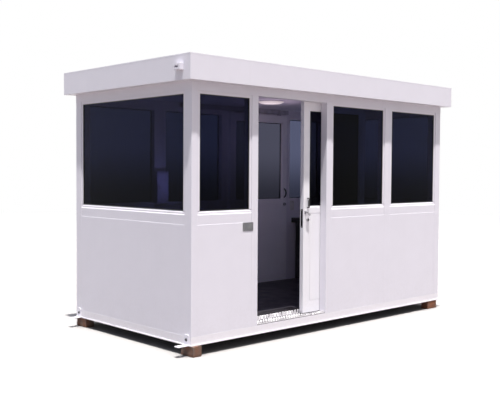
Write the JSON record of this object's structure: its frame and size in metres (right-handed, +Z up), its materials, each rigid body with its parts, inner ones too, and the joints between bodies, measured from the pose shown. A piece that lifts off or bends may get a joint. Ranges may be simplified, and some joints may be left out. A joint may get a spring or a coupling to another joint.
{
  "type": "toll booth",
  "caption": "Flat-roofed oblong booth with tinted windows all round, deep fascia and a top-hung sliding door in each long wall, on timber blocks.",
  "frame": {"origin": "centre of the plan, at the underside of the timber blocks", "axes": "+X along the long front wall, to the right as seen from outside; +Y from the front to the back; +Z up"},
  "size_m": [3.912, 2.001, 2.524],
  "materials": {
    "timber": "rough sawn, weathered",
    "body_paint": "satin white",
    "panel_paint": "satin white",
    "trim_paint": "satin white",
    "leaf_paint": "satin white",
    "underframe_steel": "matt grey primer",
    "floor_rubber": "matt",
    "tread_metal": "worn satin",
    "tinted_glass": "dark tint",
    "leaf_glass": "dark tint",
    "track_steel": "zinc plated",
    "lock_steel": "satin",
    "pull_black": "satin black",
    "plate_metal": "satin grey",
    "counter_dark": "laminate",
    "light_diffuser": "opal",
    "box_paint": "satin pale grey",
    "switch_plastic": "gloss"
  },
  "bodies": {
    "booth": {"timber_blocks": "timber", "base_side_rails": "body_paint", "base_end_rails": "body_paint", "anchor_clips": "body_paint", "corner_posts": "body_paint", "front_posts": "body_paint", "back_posts": "body_paint", "front_header": "body_paint", "back_header": "body_paint", "left_header": "body_paint", "right_header": "body_paint", "roof_panel": "body_paint", "front_fascia": "body_paint", "back_fascia": "body_paint", "left_fascia": "body_paint", "right_fascia": "body_paint", "roof_scuppers": "body_paint", "front_lower_panels": "panel_paint", "back_lower_panels": "panel_paint", "left_lower_panel": "panel_paint", "right_lower_panel": "panel_paint", "front_sill_rails": "panel_paint", "back_sill_rails": "panel_paint", "end_sill_rails": "panel_paint", "front_window_frames": "trim_paint", "back_window_frames": "trim_paint", "left_window_frame": "trim_paint", "right_window_frame": "trim_paint", "base_joists": "underframe_steel", "floor_plate": "underframe_steel", "floor_deck": "floor_rubber", "front_tread_planks": "tread_metal", "back_tread_planks": "tread_metal", "front_glass": "tinted_glass", "back_glass": "tinted_glass", "left_glass": "tinted_glass", "right_glass": "tinted_glass", "front_track": "track_steel", "back_track": "track_steel", "floor_guides": "track_steel", "data_plate": "plate_metal", "counter_top": "counter_dark", "counter_front": "counter_dark", "ceiling_light": "light_diffuser", "electrical_box": "box_paint", "switch_plate": "switch_plastic"},
    "front_door": {"front_leaf_frame": "leaf_paint", "front_leaf_panel": "leaf_paint", "front_leaf_glass": "leaf_glass", "front_leaf_lock": "lock_steel", "front_leaf_pulls": "pull_black", "front_leaf_hangers": "track_steel"},
    "back_door": {"back_leaf_frame": "leaf_paint", "back_leaf_panel": "leaf_paint", "back_leaf_glass": "leaf_glass", "back_leaf_lock": "lock_steel", "back_leaf_pulls": "pull_black", "back_leaf_hangers": "track_steel"}
  },
  "joints": [
    {"name": "front_door_slide", "type": "slide", "parent": "booth", "child": "front_door", "axis": [-1, 0, 0], "range_m": [0, 0.691]},
    {"name": "back_door_slide", "type": "slide", "parent": "booth", "child": "back_door", "axis": [-1, 0, 0], "range_m": [0, 0.691]}
  ]
}
